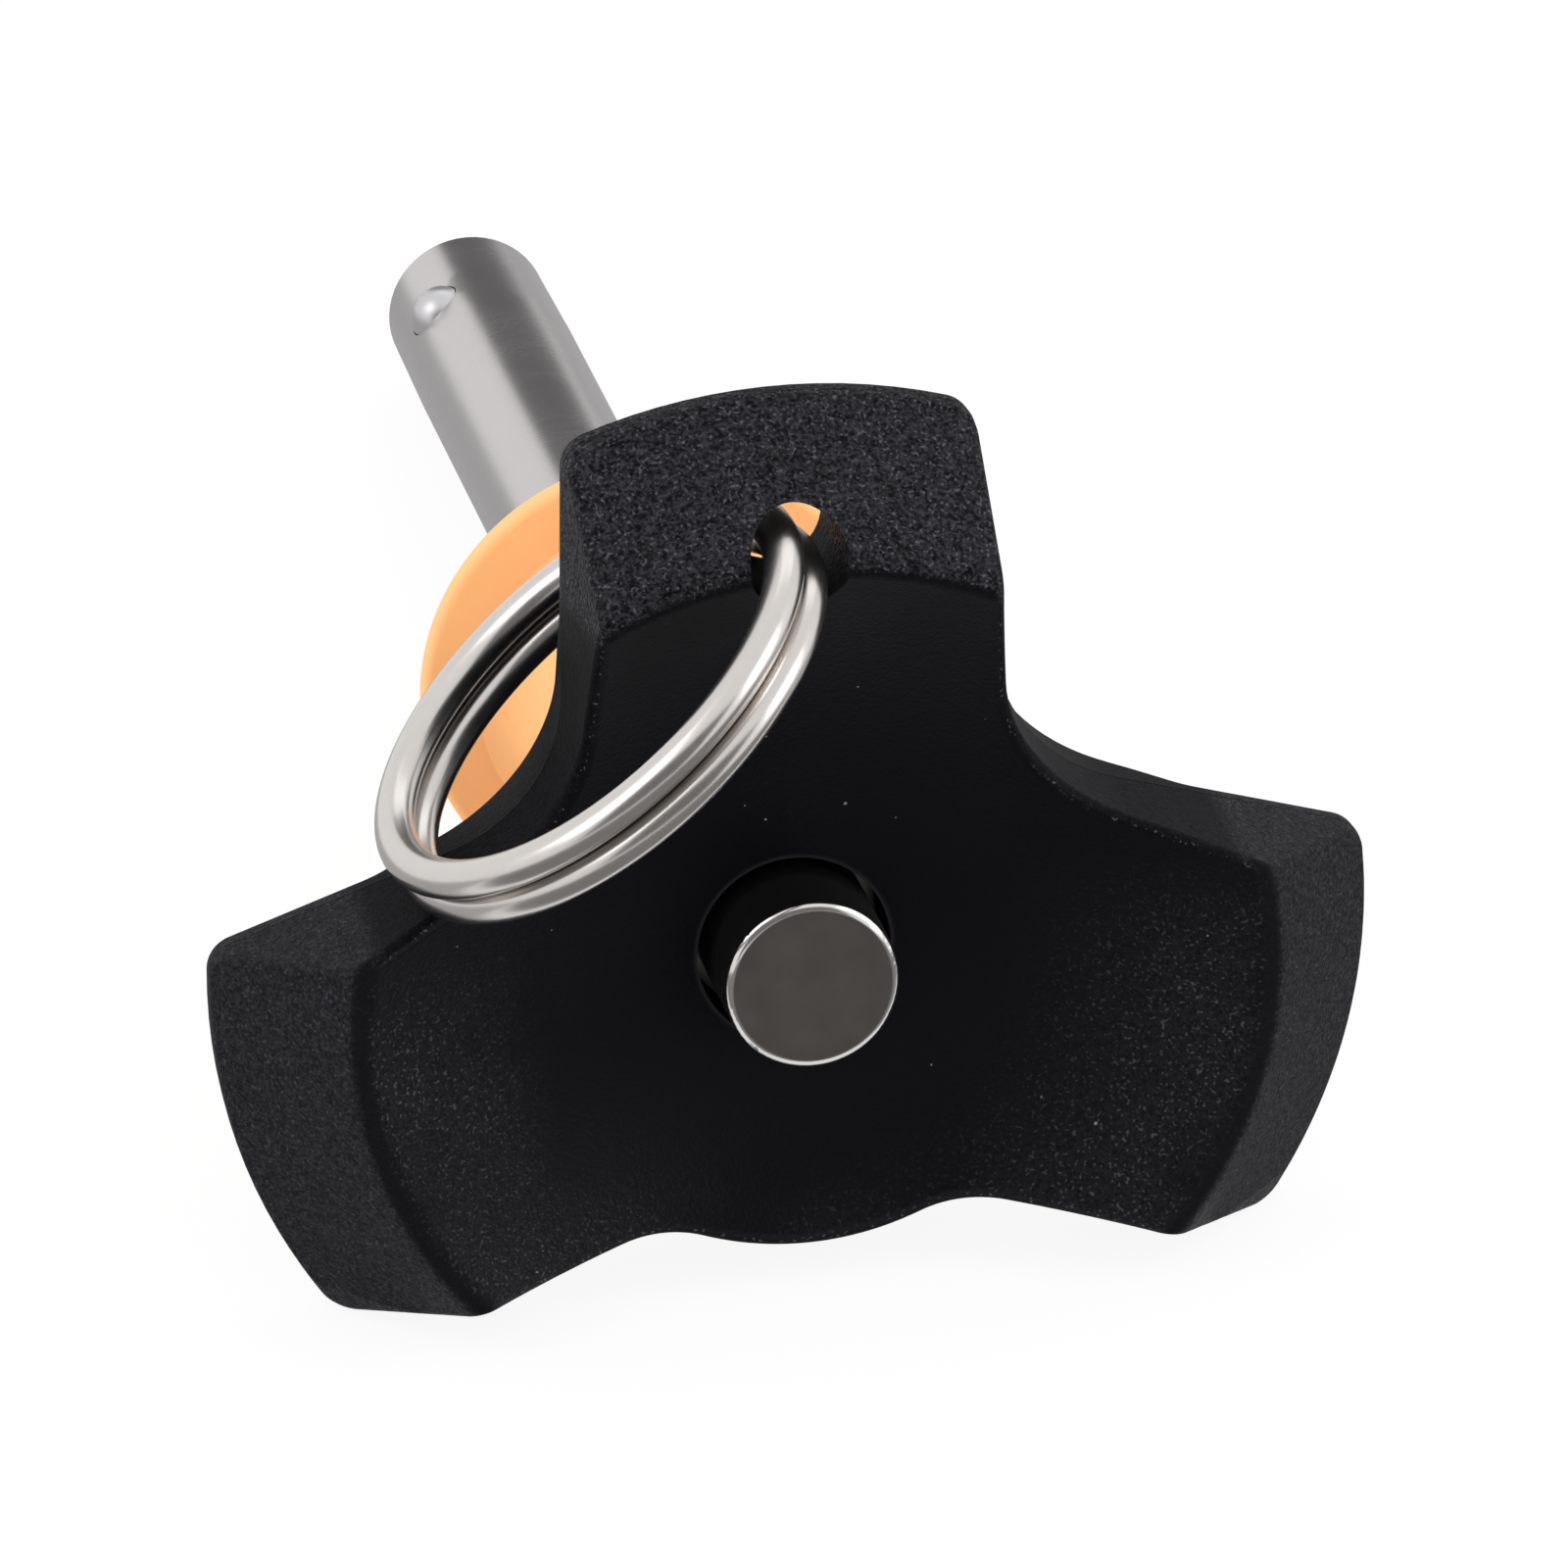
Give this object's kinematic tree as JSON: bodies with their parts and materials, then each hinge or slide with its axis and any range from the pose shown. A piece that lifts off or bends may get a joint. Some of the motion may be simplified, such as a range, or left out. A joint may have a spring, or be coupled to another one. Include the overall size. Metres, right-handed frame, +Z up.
{
  "type": "ball detent pin",
  "caption": "Quick-release ball lock pin: three-lobed plastic handle with a push button, orange hand stop, hollow steel shank with locking balls at its nose, and a split ring.",
  "frame": {"origin": "on the floor under the middle of the whole pin's length and width, as it lies at rest", "axes": "+Z up; +Y along the pin towards the nose, +X to the right as seen facing the button, with the ring's lobe uppermost"},
  "size_m": [0.053, 0.0944, 0.0419],
  "materials": {
    "handle": "black, spark-eroded grain",
    "collar": "orange, satin",
    "shank": "stainless, ground",
    "spring_steel": "plain",
    "button": "turned, dark",
    "spindle": "ground",
    "ball": "polished",
    "ring": "polished nickel"
  },
  "bodies": {
    "body": {"handle": "handle", "collar": "collar", "shank": "shank", "clip": "spring_steel", "spring": "spring_steel"},
    "button": {"button": "button", "spindle": "spindle"},
    "ball_a": {"ball_a": "ball"},
    "ball_b": {"ball_b": "ball"},
    "ring": {"split_ring": "ring"}
  },
  "joints": [
    {"name": "button_press", "type": "slide", "parent": "body", "child": "button", "axis": [0, 0.9898, -0.1428], "range_m": [0, 0.0035], "stiffness_N_per_m": 1500, "springref_m": -0.002, "deforming": ["spring"]},
    {"name": "ball_a_sink", "type": "slide", "parent": "body", "child": "ball_a", "axis": [0.7071, -0.101, -0.6999], "range_m": [0, 0.0008]},
    {"name": "ball_b_sink", "type": "slide", "parent": "body", "child": "ball_b", "axis": [-0.7071, 0.101, 0.6999], "range_m": [0, 0.0008]},
    {"name": "ring_swing", "type": "hinge", "parent": "body", "child": "ring", "pos_m": [0, -0.03173, 0.03598], "axis": [0, -0.9898, 0.1428], "range_deg": [-240, 0]}
  ],
  "couplings": [
    {"joint": "ball_a_sink", "follows": "button_press", "ratio": 0.22857},
    {"joint": "ball_b_sink", "follows": "button_press", "ratio": 0.22857}
  ]
}
